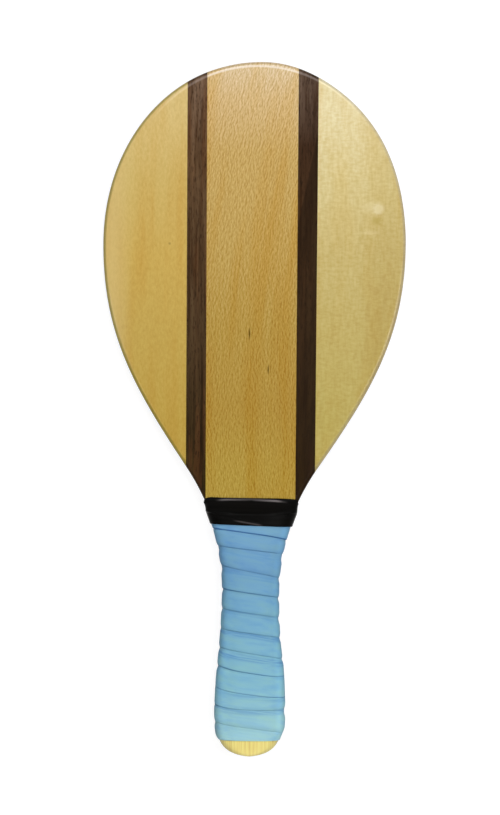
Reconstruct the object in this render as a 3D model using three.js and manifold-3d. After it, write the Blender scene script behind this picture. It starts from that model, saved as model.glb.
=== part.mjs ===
// Frescobol racket: a blade glued up from five strips of wood, a handle thickened
// by two cheeks, a lapped grip tape and a band of finishing tape at the neck.
// Millimetres, +Z up. The racket lies on its back with its head toward +Y.
import * as THREE from "three";
import { mergeVertices } from "three/addons/utils/BufferGeometryUtils.js";
import Module from "manifold-3d";

// Outline of the bare wood, seen from the front and measured from the butt end
const racketLength = 480;
const headWidth = 210;
const headWidestAt = 355;
const flankAt = 199;
const flankWidth = 90.8;
const flankAngle = THREE.MathUtils.degToRad(34.2);
const waistAt = 114;
const waistWidth = 36.4;
const buttWidestAt = 30;
const buttWidth = 45.2;
const buttFlatWidth = 5;

// How far each bend of the outline is drawn out, as shares of the span that it bends over
const crownShares = { side: 0.55, top: 0.567 };
const flankShares = { top: 0.412, bottom: 0.412 };
const neckShares = { top: 0.427, bottom: 0.262 };
const gripShares = { top: 0.419, bottom: 0.333 };
const buttShares = { top: 0.55, bottom: 1 };

// Blade: a beech centre plank, a walnut strip on each side of it, and a poplar wing outside each strip
const bladeThickness = 10;
const bladeEdgeRadius = 2.75;
const centrePlankWidth = 62.8;
const walnutStripWidth = 13.7;
const glueUpShift = 1.65; // the strips sit this far left of the outline's middle

// Handle: the centre plank between two cheeks, rounded to an oval and bevelled at its head end
const handleThickness = 24;
const bevelAt = 167.5;
const bevelLength = 7;
const bevelRunOut = 1;
const buttRimRadius = 2;
const ovalPower = 3; // 2 is an ellipse, and larger powers come nearer to a rectangle
const neckPower = 12;

// Grip tape, wound from the butt up to the bevel, each turn lying over the upper edge of the turn before it
const gripPitch = 13.36;
const gripLap = 9.14;
const gripTapeThickness = 0.55;
const gripBottomAt = 11;
const leastTapeEnd = 4; // the tape is trimmed level at both ends, to no less than this width
const lapGap = 0.56;
const lapMargin = 0.5; // the tape starts to fall to the wood this far past the edge below it
const lapFall = 0.9;
const edgeStep = 0.25; // least height between the points of the tape's section
const firstTurnShare = 0.4; // height of the first free edge on the right side, in pitches above the bottom
const leastLapShare = 0.3;
const faceRiseShare = 0.75; // how much of the climb is made across the two flat faces

// Finishing tape over the top of the grip tape and the foot of the blade
const finishingTapeWidth = 19;
const finishingTapeThickness = 0.6;
const finishingTapeLap = 8;
const finishingTapeLanding = 2;
const finishingTapeBow = 1.5; // how much higher its top edge runs at the middle of a face

// Room between a wrapping and what it goes round
const wrapClearance = 0.3;

const overrun = 5; // how far a cutting block reaches past what it cuts
const seamTolerance = 0.0005;

// Facet counts
const crownSteps = 24;
const flankSteps = 16;
const neckSteps = 14;
const gripSteps = 8;
const buttSteps = 10;
const edgeSteps = 4;
const rimSteps = 3;
const ovalSteps = 40;
const loopSteps = 24;
const bevelSteps = 3;
const climbSteps = 3; // the second turn starts to climb this many steps before it meets the tape's start
const levelSteps = 1; // and has climbed this many before

const wasm = await Module();
wasm.setup();

// One half of the outline as curves from the crown down to the butt: x is the half width, y the height
function halfOutline() {
  const at = (x, y) => new THREE.Vector2(x, y);
  const crown = at(0, racketLength);
  const widest = at(headWidth / 2, headWidestAt);
  const flank = at(flankWidth / 2, flankAt);
  const waist = at(waistWidth / 2, waistAt);
  const butt = at(buttWidth / 2, buttWidestAt);
  const end = at(0, 0);
  const spans = [crown, widest, flank, waist, butt, end].map((p, i, all) => (i ? all[i - 1].y - p.y : 0));
  const along = at(Math.sin(flankAngle), Math.cos(flankAngle));
  const moved = (p, direction, length) => p.clone().addScaledVector(direction, length);
  const across = at(1, 0);
  const up = at(0, 1);
  const bend = (...points) => new THREE.CubicBezierCurve(...points);
  return [
    {
      curve: bend(
        crown,
        moved(crown, across, crownShares.side * widest.x),
        moved(widest, up, crownShares.top * spans[1]),
        widest,
      ),
      steps: crownSteps,
    },
    {
      curve: bend(
        widest,
        moved(widest, up, -flankShares.top * spans[2]),
        moved(flank, along, flankShares.bottom * spans[2]),
        flank,
      ),
      steps: flankSteps,
    },
    {
      curve: bend(
        flank,
        moved(flank, along, -neckShares.top * spans[3]),
        moved(waist, up, neckShares.bottom * spans[3]),
        waist,
      ),
      steps: neckSteps,
    },
    {
      curve: bend(
        waist,
        moved(waist, up, -gripShares.top * spans[4]),
        moved(butt, up, gripShares.bottom * spans[4]),
        butt,
      ),
      steps: gripSteps,
    },
    {
      curve: bend(
        butt,
        moved(butt, up, -buttShares.top * spans[5]),
        moved(end, across, buttShares.bottom * butt.x),
        end,
      ),
      steps: buttSteps,
    },
  ];
}

const outlinePoints = halfOutline().flatMap(({ curve, steps }, i) => {
  return curve.getPoints(steps).slice(i ? 1 : 0);
});
const bladeTop = bladeThickness / 2;
const bevelEndAt = bevelAt + bevelLength;

// The grip tape's first free edge, and the turns that it starts and ends at
const gripTopAt = bevelAt;
const gripTapeWidth = gripPitch + gripLap;
const firstEdgeAt = gripBottomAt + firstTurnShare * gripPitch;
const startAt = gripBottomAt + leastTapeEnd - gripTapeWidth;
const startTurn = Math.ceil((2 * (startAt - firstEdgeAt)) / gripPitch) / 2;
const endTurn = Math.floor((gripTopAt - leastTapeEnd - firstEdgeAt) / gripPitch);

// Half width of the wood at a height above the butt end
function halfWidthAt(height) {
  const upper = outlinePoints.findLastIndex((p) => p.y >= height);
  const a = outlinePoints[Math.max(upper, 0)];
  const b = outlinePoints[Math.min(upper + 1, outlinePoints.length - 1)];
  const share = a.y > b.y ? (a.y - height) / (a.y - b.y) : 0;
  return Math.max(THREE.MathUtils.lerp(a.x, b.x, share), buttFlatWidth / 2);
}

// Half thickness of the handle: rounded at the butt's rim, level, then bevelled down to the blade
function halfThicknessAt(height) {
  const half = handleThickness / 2;
  if (height < buttRimRadius) {
    const inside = buttRimRadius - height;
    return half - buttRimRadius + Math.sqrt(buttRimRadius ** 2 - inside ** 2);
  }
  const share = THREE.MathUtils.clamp((height - bevelAt) / bevelLength, 0, 1);
  return THREE.MathUtils.lerp(half, bladeTop, share);
}

// The handle's oval turns squarer where it runs into the blade
function powerAt(height) {
  const share = THREE.MathUtils.clamp((height - gripTopAt) / (bevelEndAt - gripTopAt), 0, 1);
  return THREE.MathUtils.lerp(ovalPower, neckPower, share);
}

// A point on the oval: angle 0 is the right side and a quarter turn on is the front face
function ovalPoint(angle, height, halfWidth, halfThickness) {
  const power = 2 / powerAt(height);
  const c = Math.cos(angle);
  const s = Math.sin(angle);
  return new THREE.Vector3(
    halfWidth * Math.sign(c) * Math.abs(c) ** power,
    height,
    halfThickness * Math.sign(s) * Math.abs(s) ** power,
  );
}

// A skin through rings of points. An open loft is closed by the triangles of its cap,
// a wrapped one by itself.
// Seen from outside, each ring runs anticlockwise of the way to the next ring
function loft(rings, cap) {
  const count = rings[0].length;
  const points = rings.flat();
  const triangles = [];
  const last = cap ? rings.length - 1 : rings.length;
  for (let r = 0; r < last; r++) {
    const here = r * count;
    const next = ((r + 1) % rings.length) * count;
    for (let i = 0; i < count; i++) {
      const j = (i + 1) % count;
      triangles.push([here + i, here + j, next + j], [here + i, next + j, next + i]);
    }
  }
  if (cap) {
    const end = (rings.length - 1) * count;
    for (const [a, b, c] of cap) triangles.push([c, b, a], [end + a, end + b, end + c]);
  }
  const geometry = new THREE.BufferGeometry().setFromPoints(points);
  geometry.setIndex(triangles.flat());
  return geometry;
}

// The triangles that close a ring, facing the same way as the ring runs
function capOf(contour) {
  const cap = THREE.ShapeUtils.triangulateShape(contour, []);
  return THREE.ShapeUtils.isClockWise(contour) ? cap.map((triangle) => triangle.reverse()) : cap;
}

// A closed geometry as a solid that can be joined and cut
function toSolid(geometry) {
  const bare = geometry.clone();
  bare.deleteAttribute("normal");
  bare.deleteAttribute("uv");
  const merged = mergeVertices(bare);
  return new wasm.Manifold(
    new wasm.Mesh({
      numProp: 3,
      vertProperties: merged.attributes.position.array,
      triVerts: new Uint32Array(merged.index.array),
    }),
  );
}

// The seams that the pieces share, left to right and front to back
const seams = {
  leftWing: -glueUpShift - centrePlankWidth / 2 - walnutStripWidth,
  leftPlank: -glueUpShift - centrePlankWidth / 2,
  rightPlank: -glueUpShift + centrePlankWidth / 2,
  rightWing: -glueUpShift + centrePlankWidth / 2 + walnutStripWidth,
};

// The solid as a geometry, with the points on a seam put exactly on it, so that neighbours
// meet face to face
function toGeometry(solid) {
  const mesh = solid.getMesh();
  const position = Float32Array.from(mesh.vertProperties);
  const snap = (value, planes) => planes.find((plane) => Math.abs(plane - value) < seamTolerance) ?? value;
  for (let i = 0; i < position.length; i += 3) {
    position[i] = snap(position[i], Object.values(seams));
    position[i + 2] = snap(position[i + 2], [bladeTop, -bladeTop]);
  }
  const geometry = new THREE.BufferGeometry();
  geometry.setAttribute("position", new THREE.BufferAttribute(position, 3));
  geometry.setIndex(Array.from(mesh.triVerts));
  return geometry;
}

// A block between two corners, for cutting
function block(low, high) {
  const size = high.clone().sub(low);
  const geometry = new THREE.BoxGeometry(size.x, size.y, size.z);
  const middle = low.clone().add(high).divideScalar(2);
  return toSolid(geometry.translate(middle.x, middle.y, middle.z));
}

// The blade's own board, with rounded edges. Its tail narrows where it runs into the handle
function bladeBoard() {
  const right = outlinePoints.filter((p) => p.y > bevelEndAt);
  right.push(new THREE.Vector2(halfWidthAt(bevelEndAt), bevelEndAt));
  right.push(new THREE.Vector2(halfWidthAt(bevelAt) - bladeEdgeRadius, bevelAt));
  const left = right
    .slice(1)
    .reverse()
    .map((p) => new THREE.Vector2(-p.x, p.y));
  const geometry = new THREE.ExtrudeGeometry(new THREE.Shape([...right, ...left]), {
    depth: bladeThickness - 2 * bladeEdgeRadius,
    bevelThickness: bladeEdgeRadius,
    bevelSize: bladeEdgeRadius,
    bevelOffset: -bladeEdgeRadius,
    bevelSegments: edgeSteps,
  });
  return toSolid(geometry.translate(0, 0, bladeEdgeRadius - bladeTop));
}

// The whole handle as one oval body, before it is parted into the plank and the two cheeks.
// Its bevel ends inside the blade's board
function handleBody() {
  const rim = Array.from({ length: rimSteps }, (_, i) => {
    return buttRimRadius * (1 - Math.cos((Math.PI / 2) * (i / rimSteps)));
  });
  const bevel = Array.from({ length: bevelSteps }, (_, i) => {
    return THREE.MathUtils.lerp(bevelAt, bevelEndAt - bevelRunOut, i / (bevelSteps - 1));
  });
  const body = outlinePoints.map((p) => p.y).filter((y) => y >= buttRimRadius && y < bevelAt);
  const ring = (height, halfWidth, halfThickness) => {
    return Array.from({ length: ovalSteps }, (_, i) => {
      return ovalPoint((i / ovalSteps) * 2 * Math.PI, height, halfWidth, halfThickness);
    });
  };
  const end = bevelEndAt + bevelRunOut;
  const drop = halfThicknessAt(bevelEndAt - bevelRunOut) - bladeTop;
  const rings = [ring(end, halfWidthAt(end) - bladeEdgeRadius, bladeTop - drop)];
  for (const height of [...bevel.reverse(), ...body, ...rim.reverse()]) {
    rings.push(ring(height, halfWidthAt(height), halfThicknessAt(height)));
  }
  const contour = rings[0].map((p) => new THREE.Vector2(p.x, p.z));
  return toSolid(loft(rings, capOf(contour)));
}

// Part of a body between two planes across the width or the thickness
function between(solid, axis, from, to) {
  const reach = racketLength + overrun;
  const low = new THREE.Vector3(-reach, -reach, -reach);
  const high = new THREE.Vector3(reach, reach, reach);
  low[axis] = from;
  high[axis] = to;
  return solid.intersect(block(low, high));
}

// The share of one turn's climb that is made up to an angle round the handle
function riseShare(angle) {
  const across = ovalPoint(angle, waistAt, 1, 1).x;
  const byFace = angle < Math.PI ? (1 - across) / 4 : (3 + across) / 4;
  return THREE.MathUtils.lerp(angle / (2 * Math.PI), byFace, faceRiseShare);
}

// Where the two edges of the grip tape lie at a turn, trimmed level at the butt and at the top
function tapeEdges(turn) {
  const whole = Math.floor(turn + 1 / (4 * loopSteps));
  const climb = whole + riseShare((turn - whole) * 2 * Math.PI);
  const lower = firstEdgeAt + gripPitch * climb;
  return {
    lower: Math.max(lower, gripBottomAt),
    upper: Math.min(lower + gripTapeWidth, gripTopAt),
  };
}

// The tape's section at a turn, as points round it. Its lower part lies over the turn before,
// its upper part on the wood
function tapeSection(turn) {
  const { lower, upper } = tapeEdges(turn);
  const leastUnder = THREE.MathUtils.lerp(lower, upper, leastLapShare);
  const under = Math.max(tapeEdges(turn - 1).upper + lapMargin, leastUnder);
  const over = Math.max(tapeEdges(turn + 1).lower, under + 2 * lapFall + edgeStep);
  const lift = gripTapeThickness + lapGap;
  const pastStart = (turn - 1 - startTurn) * loopSteps;
  const started = THREE.MathUtils.smoothstep(pastStart, -climbSteps, -levelSteps);
  const raised = (height, fall) => {
    return started * lift * (1 - THREE.MathUtils.clamp((height - under) / fall, 0, 1));
  };
  const kept = (height, fromTop) => {
    return THREE.MathUtils.clamp(height, lower + (5 - fromTop) * edgeStep, upper - fromTop * edgeStep);
  };
  const outer = [
    lower,
    kept(under, 4),
    kept(under + lapFall, 3),
    kept(under + 2 * lapFall, 2),
    kept(over, 1),
    upper,
  ].map((height) => [height, wrapClearance + gripTapeThickness + raised(height, 2 * lapFall)]);
  const foot = kept(under + lapFall, 1);
  const brow = kept(under, 2);
  const inner = [upper, (upper + foot) / 2, foot, brow, (brow + lower) / 2, lower].map((height) => {
    return [height, wrapClearance + raised(height, lapFall)];
  });
  return [...outer, ...inner];
}

// The grip tape as one unbroken band
function gripTape() {
  const stations = Math.round((endTurn - startTurn) * loopSteps);
  const turns = Array.from({ length: stations + 1 }, (_, i) => startTurn + i / loopSteps);
  const rings = turns.map((turn) =>
    tapeSection(turn).map(([height, out]) =>
      ovalPoint(
        (turn - Math.floor(turn)) * 2 * Math.PI,
        height,
        halfWidthAt(height) + out,
        handleThickness / 2 + out,
      ),
    ),
  );
  const contour = tapeSection(endTurn).map(([height, out]) => new THREE.Vector2(height, out));
  return { rings, geometry: loft(rings, capOf(contour)) };
}

// Least distance from the points of each turn to the turn that lies over it
function leastGap(rings) {
  let least = Infinity;
  const nearest = new THREE.Vector3();
  const edge = new THREE.Line3();
  for (let i = 0; i + loopSteps < rings.length; i++) {
    const pair = [rings[i], rings[i + loopSteps]];
    for (const [points, others] of [pair, [...pair].reverse()]) {
      for (const point of points) {
        others.forEach((other, j) => {
          edge.set(other, others[(j + 1) % others.length]);
          edge.closestPointToPoint(point, true, nearest);
          least = Math.min(least, nearest.distanceTo(point));
        });
      }
    }
  }
  return least;
}

// The finishing tape: a sleeve over the grip tape's end that bridges the bevel and lands on the blade
function finishingTape() {
  const bottom = gripTopAt - finishingTapeLap;
  const top = bottom + finishingTapeWidth;
  const landing = top - finishingTapeLanding;
  const overGrip = wrapClearance + gripTapeThickness + lapGap + gripTapeThickness + wrapClearance;
  const bridge = (height) => {
    const from = gripTopAt + wrapClearance;
    return THREE.MathUtils.clamp((height - from) / (landing - from), 0, 1);
  };
  const heights = Array.from({ length: bevelSteps }, (_, i) => {
    return THREE.MathUtils.lerp(bottom, gripTopAt + wrapClearance, i / bevelSteps);
  });
  for (let i = 0; i <= bevelSteps; i++) {
    heights.push(THREE.MathUtils.lerp(gripTopAt + wrapClearance, landing, i / bevelSteps));
  }
  heights.push(top);
  const ring = (height, thickness) => {
    const out = THREE.MathUtils.lerp(overGrip, wrapClearance, bridge(height)) + thickness;
    const half = THREE.MathUtils.lerp(handleThickness / 2, bladeTop, bridge(height));
    const halfWidth = halfWidthAt(height) + out;
    return Array.from({ length: ovalSteps }, (_, i) => {
      const point = ovalPoint((i / ovalSteps) * 2 * Math.PI, height, halfWidth, half + out);
      point.y += finishingTapeBow * bridge(height) * (1 - (point.x / halfWidth) ** 2);
      return point;
    });
  };
  const outside = heights.map((height) => ring(height, finishingTapeThickness)).reverse();
  const inside = heights.map((height) => ring(height, 0));
  const reach = handleThickness / 2 + overGrip + finishingTapeThickness;
  return { geometry: loft([...outside, ...inside]), reach };
}

const materials = {
  beech: new THREE.MeshStandardMaterial({ color: 0xbe9d55, roughness: 0.45, metalness: 0 }),
  walnut: new THREE.MeshStandardMaterial({ color: 0x432f1e, roughness: 0.45, metalness: 0 }),
  poplar: new THREE.MeshStandardMaterial({ color: 0xc8ad66, roughness: 0.45, metalness: 0 }),
  blueTape: new THREE.MeshStandardMaterial({ color: 0x6fa2c3, roughness: 0.6, metalness: 0 }),
  blackTape: new THREE.MeshStandardMaterial({ color: 0x12130f, roughness: 0.35, metalness: 0 }),
};

function named(name, geometry, material) {
  const flat = geometry.index ? geometry.toNonIndexed() : geometry;
  flat.computeVertexNormals();
  const mesh = new THREE.Mesh(flat, material);
  mesh.name = name;
  return mesh;
}

const racket = new THREE.Group();
const handle = handleBody();
const board = between(bladeBoard().add(handle), "z", -bladeTop, bladeTop);
const edge = headWidth / 2 + overrun;
const strips = [
  ["poplar_wing_left", -edge, seams.leftWing, materials.poplar],
  ["walnut_strip_left", seams.leftWing, seams.leftPlank, materials.walnut],
  ["centre_plank", seams.leftPlank, seams.rightPlank, materials.beech],
  ["walnut_strip_right", seams.rightPlank, seams.rightWing, materials.walnut],
  ["poplar_wing_right", seams.rightWing, edge, materials.poplar],
];
for (const [name, from, to, material] of strips) {
  racket.add(named(name, toGeometry(between(board, "x", from, to)), material));
}
const cheekReach = handleThickness / 2 + overrun;
const frontCheek = between(handle, "z", bladeTop, cheekReach);
const backCheek = between(handle, "z", -cheekReach, -bladeTop);
racket.add(named("handle_cheek_front", toGeometry(frontCheek), materials.beech));
racket.add(named("handle_cheek_back", toGeometry(backCheek), materials.beech));

const grip = gripTape();
racket.add(named("grip_tape", grip.geometry, materials.blueTape));
console.log(`Least gap between turns of the grip tape: ${leastGap(grip.rings).toFixed(2)} mm`);

const finish = finishingTape();
racket.add(named("finishing_tape", finish.geometry, materials.blackTape));

// The origin is under the middle of the racket, on the plane that its thickest part rests on
racket.position.set(0, -racketLength / 2, finish.reach);

export default racket;
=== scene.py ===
import math

import bmesh
import bpy
import numpy as np
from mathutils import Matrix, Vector, noise
from mathutils.geometry import interpolate_bezier


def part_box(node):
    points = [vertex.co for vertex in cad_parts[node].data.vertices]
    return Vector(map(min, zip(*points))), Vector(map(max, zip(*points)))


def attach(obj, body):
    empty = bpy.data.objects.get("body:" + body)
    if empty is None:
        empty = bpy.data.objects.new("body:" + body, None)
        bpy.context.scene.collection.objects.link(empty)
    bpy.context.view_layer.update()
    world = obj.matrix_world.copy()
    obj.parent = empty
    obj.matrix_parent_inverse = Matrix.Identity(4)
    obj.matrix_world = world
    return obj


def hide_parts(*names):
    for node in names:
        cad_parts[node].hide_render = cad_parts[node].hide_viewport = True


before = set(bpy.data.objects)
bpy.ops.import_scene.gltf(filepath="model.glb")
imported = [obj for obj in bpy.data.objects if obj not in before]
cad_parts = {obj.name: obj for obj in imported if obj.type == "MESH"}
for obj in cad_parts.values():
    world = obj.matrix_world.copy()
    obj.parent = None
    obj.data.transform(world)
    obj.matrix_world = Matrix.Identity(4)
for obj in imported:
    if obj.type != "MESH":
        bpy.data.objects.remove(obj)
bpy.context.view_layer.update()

mm = 0.001
weld = 0.001 * mm  # points closer than this become one
print("frame loaded")


def linear(hexColour):
    # sRGB hex to the linear values that the shaders read
    parts = [int(hexColour[i:i + 2], 16) / 255 for i in (1, 3, 5)]
    return [p / 12.92 if p <= 0.04045 else ((p + 0.055) / 1.055) ** 2.4 for p in parts] + [1]


def perMm(*sizes):
    # texture scale for features of these sizes in mm, on coordinates in metres
    return [1 / (size * mm) for size in sizes]


def addNode(tree, kind, settings={}, sockets={}, stops=()):
    # one node with its settings, its values or links, and the stops of its colour ramp
    node = tree.nodes.new(kind)
    for name, value in settings.items():
        setattr(node, name, value)
    for name, value in sockets.items():
        if isinstance(value, bpy.types.NodeSocket):
            tree.links.new(value, node.inputs[name])
        else:
            node.inputs[name].default_value = value
    for i, (place, colour) in enumerate(stops):
        stop = node.color_ramp.elements[i] if i < 2 else node.color_ramp.elements.new(place)
        stop.position = place
        stop.color = linear(colour)
    return node


def newMaterial(name):
    material = bpy.data.materials.new(name)
    material.use_nodes = True
    material.node_tree.nodes.clear()
    return material, material.node_tree


# Outline of the bare wood in mm, seen from the front and measured from the butt end
racket = {
    "length": 480, "headWidth": 210, "headWidestAt": 355,
    "flankAt": 199, "flankWidth": 90.8, "flankAngle": 34.2,
    "waistAt": 114, "waistWidth": 36.4, "buttWidestAt": 30, "buttWidth": 45.2, "buttFlat": 5,
    # from the crown down, how hard each bend is pulled at its two ends, as a share of its length, or of the
    # half width at the crown and at the butt
    "pulls": ((0.55, 0.567), (0.412, 0.412), (0.427, 0.262), (0.419, 0.333), (0.55, 1)),
    "bendSteps": (64, 40, 30, 24, 36),
}
middle = sum(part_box("centre_plank"), Vector()).z / 2  # height of the glue-up's middle plane


def spot(x, s, z):
    # s runs from the butt end, z from the middle plane, all in mm
    return Vector((x * mm, (s - racket["length"] / 2) * mm, middle + z * mm))


def halfOutline():
    # half widths from the crown down to the butt
    r = racket
    ends = [Vector((w / 2, s, 0)) for w, s in (
        (0, r["length"]), (r["headWidth"], r["headWidestAt"]), (r["flankWidth"], r["flankAt"]),
        (r["waistWidth"], r["waistAt"]), (r["buttWidth"], r["buttWidestAt"]), (0, 0))]
    spans = [a.y - b.y for a, b in zip(ends, ends[1:])]
    angle = math.radians(r["flankAngle"])
    up, across, along = Vector((0, 1, 0)), Vector((1, 0, 0)), Vector((math.sin(angle), math.cos(angle), 0))
    crown, head, flank, waist, butt = r["pulls"]
    handles = [
        (across * crown[0] * ends[1].x, up * crown[1] * spans[0]),
        (up * -head[0] * spans[1], along * head[1] * spans[1]),
        (along * -flank[0] * spans[2], up * flank[1] * spans[2]),
        (up * -waist[0] * spans[3], up * waist[1] * spans[3]),
        (up * -butt[0] * spans[4], across * butt[1] * ends[4].x),
    ]
    points = [ends[0]]
    for a, b, (out, back), steps in zip(ends, ends[1:], handles, r["bendSteps"]):
        points += interpolate_bezier(a, a + out, b + back, b, steps + 1)[1:]
    return [(p.x, p.y) for p in points]


outline = halfOutline()
outlineHeights = [s for w, s in reversed(outline)]
outlineWidths = [max(w, racket["buttFlat"] / 2) for w, s in reversed(outline)]


def halfWidthAt(s):
    return float(np.interp(s, outlineHeights, outlineWidths))


def smoothShare(value, low, high):
    share = min(max((value - low) / (high - low), 0), 1)
    return share * share * (3 - 2 * share)


def ovalPoint(angle, s, halfWidth, halfThickness, power):
    # angle 0 is the right side and a quarter turn on is the front face
    c, n = math.cos(angle), math.sin(angle)
    x = halfWidth * math.copysign(abs(c) ** (2 / power), c)
    z = halfThickness * math.copysign(abs(n) ** (2 / power), n)
    return spot(x, s, z)


def rolledSheet(steps, rows, place):
    # a flat grid, rolled up by moving each of its points. Its UVs keep the flat sheet's sizes, in metres
    bm = bmesh.new()
    bmesh.ops.create_grid(bm, x_segments=steps, y_segments=rows, size=1)
    flat = bm.loops.layers.uv.new("flat")
    sheetSpot = {}
    for vert in bm.verts:
        share = (vert.co.x + 1) / 2, (vert.co.y + 1) / 2
        vert.co, sheetSpot[vert] = place(*share)
    for face in bm.faces:
        for loop in face.loops:
            loop[flat].uv = sheetSpot[loop.vert]
    bmesh.ops.reverse_faces(bm, faces=bm.faces)  # rolled this way, its faces pointed inwards
    return bm


def addPiece(name, bm, material, node, sharp=35):
    mesh = bpy.data.meshes.new(name)
    bm.to_mesh(mesh)
    bm.free()
    mesh.shade_smooth()
    mesh.set_sharp_from_angle(angle=math.radians(sharp))
    mesh.materials.append(material)
    piece = bpy.data.objects.new(name, mesh)
    bpy.context.scene.collection.objects.link(piece)
    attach(piece, "root")
    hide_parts(node)
    return piece


def addWall(piece, thickness):
    # thickness in mm, inwards
    wall = piece.modifiers.new("thickness", "SOLIDIFY")
    wall.thickness, wall.offset = thickness * mm, -1


# Finishes. All the wood is under the same clear satin lacquer, even and thin. It gives a fine bright line
# where an edge starts to turn away, and no haze on the flat faces. At the crown, that line is a painted
# highlight
lacquer = {"IOR": 1.5, "Roughness": 0.6, "Specular IOR Level": 0,
           "Coat Weight": 0.6, "Coat Roughness": 0.2, "Coat IOR": 1.5}
# In mm: how far the blade's faces are from its middle plane, and how far below them the painted shading of its
# edge sets in
rim = {"faces": 5, "from": 0.01, "to": 0.3}
# In mm: the circle that the crown's painted highlight follows, and the heights between which it fades in
glint = {"centre": (2, 386.8), "radius": 90.8, "width": 1.3, "fadeIn": (430, 478)}


def toneAlong(tree, parts, stops, low=0, high=racket["length"]):
    # colours that change with the height, from the stop 0 at low to the stop 1 at high
    height = addNode(tree, "ShaderNodeMapRange", {}, {
        "Value": parts.outputs["Y"], "From Min": spot(0, low, 0).y, "From Max": spot(0, high, 0).y})
    return addNode(tree, "ShaderNodeValToRGB", {}, {"Fac": height.outputs[0]}, stops).outputs[0]


def grainPattern(tree, coords, sizes, detail, roughness, distortion=0, shift=0):
    # cloudy noise, stretched until its patches have these sizes in mm, and shifted to the left
    space = addNode(tree, "ShaderNodeMapping", {}, {
        "Vector": coords, "Location": (shift / sizes[0], 0, 0), "Scale": perMm(*sizes)})
    return addNode(tree, "ShaderNodeTexNoise", {}, {
        "Vector": space.outputs[0], "Scale": 1, "Detail": detail, "Roughness": roughness,
        "Distortion": distortion})


def tinted(tree, colour, pattern, stops):
    # the colour, multiplied by tints that follow a pattern
    tints = addNode(tree, "ShaderNodeValToRGB", {}, {"Fac": pattern}, stops)
    mixed = addNode(tree, "ShaderNodeMix", {"data_type": "RGBA", "blend_type": "MULTIPLY"}, {
        0: 1, 6: colour, 7: tints.outputs[0]})
    return mixed.outputs[2]


def blended(tree, colour, value, ends, shares, hexColour, smooth=True):
    # toward another colour, by a share that changes as a value goes from one end to the other
    kind = "SMOOTHSTEP" if smooth else "LINEAR"
    share = addNode(tree, "ShaderNodeMapRange", {"interpolation_type": kind}, {
        "Value": value, "From Min": ends[0], "From Max": ends[1], "To Min": shares[0], "To Max": shares[1]})
    mixed = addNode(tree, "ShaderNodeMix", {"data_type": "RGBA"}, {
        0: share.outputs[0], 6: colour, 7: linear(hexColour)})
    return mixed.outputs[2]


def bladeEdge(tree, coords, parts, colour, look):
    # painted shading on the rounded edge: toward each wood's shading colour where the surface falls away from
    # the level of the blade's faces, darker as painted shade, and paler on the right wing as painted light
    (rimShadingColour, rimShadingShare), (glintColour, glintShare) = look["rim"], look["glint"]
    fromMiddle = addNode(tree, "ShaderNodeMath", {"operation": "SUBTRACT"}, {
        0: parts.outputs["Z"], 1: middle})
    fromMiddle = addNode(tree, "ShaderNodeMath", {"operation": "ABSOLUTE"}, {0: fromMiddle.outputs[0]})
    colour = blended(tree, colour, fromMiddle.outputs[0], (
        (rim["faces"] - rim["to"]) * mm, (rim["faces"] - rim["from"]) * mm), (rimShadingShare, 0), rimShadingColour)
    # a painted highlight: a pale line just inside the crown's rounded edge, nearly part of a circle
    level = Vector((1, 1, 0))
    flattened = addNode(tree, "ShaderNodeVectorMath", {"operation": "MULTIPLY"}, {0: coords, 1: level})
    fromCentre = addNode(tree, "ShaderNodeVectorMath", {"operation": "DISTANCE"}, {
        0: flattened.outputs[0], 1: spot(*glint["centre"], 0) * level})
    across = addNode(tree, "ShaderNodeMapRange", {}, {
        "Value": fromCentre.outputs["Value"], "From Min": (glint["radius"] - glint["width"]) * mm,
        "From Max": (glint["radius"] + glint["width"]) * mm})
    line = addNode(tree, "ShaderNodeValToRGB", {}, {"Fac": across.outputs[0]}, [
        (0.1, "#000000"), (0.4, "#ffffff"), (0.6, "#ffffff"), (0.9, "#000000")])
    low, high = glint["fadeIn"]
    strength = addNode(tree, "ShaderNodeMapRange", {"interpolation_type": "SMOOTHSTEP"}, {
        "Value": parts.outputs["Y"], "From Min": spot(0, low, 0).y, "From Max": spot(0, high, 0).y,
        "To Min": 0, "To Max": glintShare})
    amount = addNode(tree, "ShaderNodeMath", {"operation": "MULTIPLY"}, {
        0: line.outputs[0], 1: strength.outputs[0]})
    mixed = addNode(tree, "ShaderNodeMix", {"data_type": "RGBA"}, {
        0: amount.outputs[0], 6: colour, 7: linear(glintColour)})
    return mixed.outputs[2]


def surface(tree, sockets):
    # the last two nodes of every material
    shader = addNode(tree, "ShaderNodeBsdfPrincipled", {}, sockets)
    addNode(tree, "ShaderNodeOutputMaterial", {}, {"Surface": shader.outputs[0]})


def newWood(name):
    material, tree = newMaterial(name)
    coords = addNode(tree, "ShaderNodeTexCoord").outputs["Object"]
    return material, tree, coords, addNode(tree, "ShaderNodeSeparateXYZ", {}, {"Vector": coords})


# The centre plank's wood: sizes and places in mm
plankLook = {
    # painted sheen paler toward the crown, and painted shade darker toward the neck
    "tones": [(0.4, "#bfa64e"), (0.5, "#bc9e4c"), (0.62, "#c2a659"), (0.73, "#cdb16c"), (0.87, "#d5b879"),
              (0.95, "#e5cb9e"), (0.99, "#eedabb")],
    "bendsFrom": 226, "bend": 0.454,  # the height at which the grain starts to bend, and how strongly
    "boards": (14, 190, 14), "flecks": (1.25, 3.9, 1.25), "fleckShift": 0.3, "pores": (1.4, 1.9, 1.4),
    "darkFlecks": (1.3, 9, 1.3),
    "pins": ((-2.8, 292.2, 0.75), (10.5, 267.4, 0.6)),  # place and reach
    "pinAlong": 0.14,  # how much the distance along the grain counts
    # painted shade on the rounded edge, and the crown's painted highlight
    "rim": ("#5a4420", 0.12), "glint": ("#fff4e6", 0.6),
}


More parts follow.
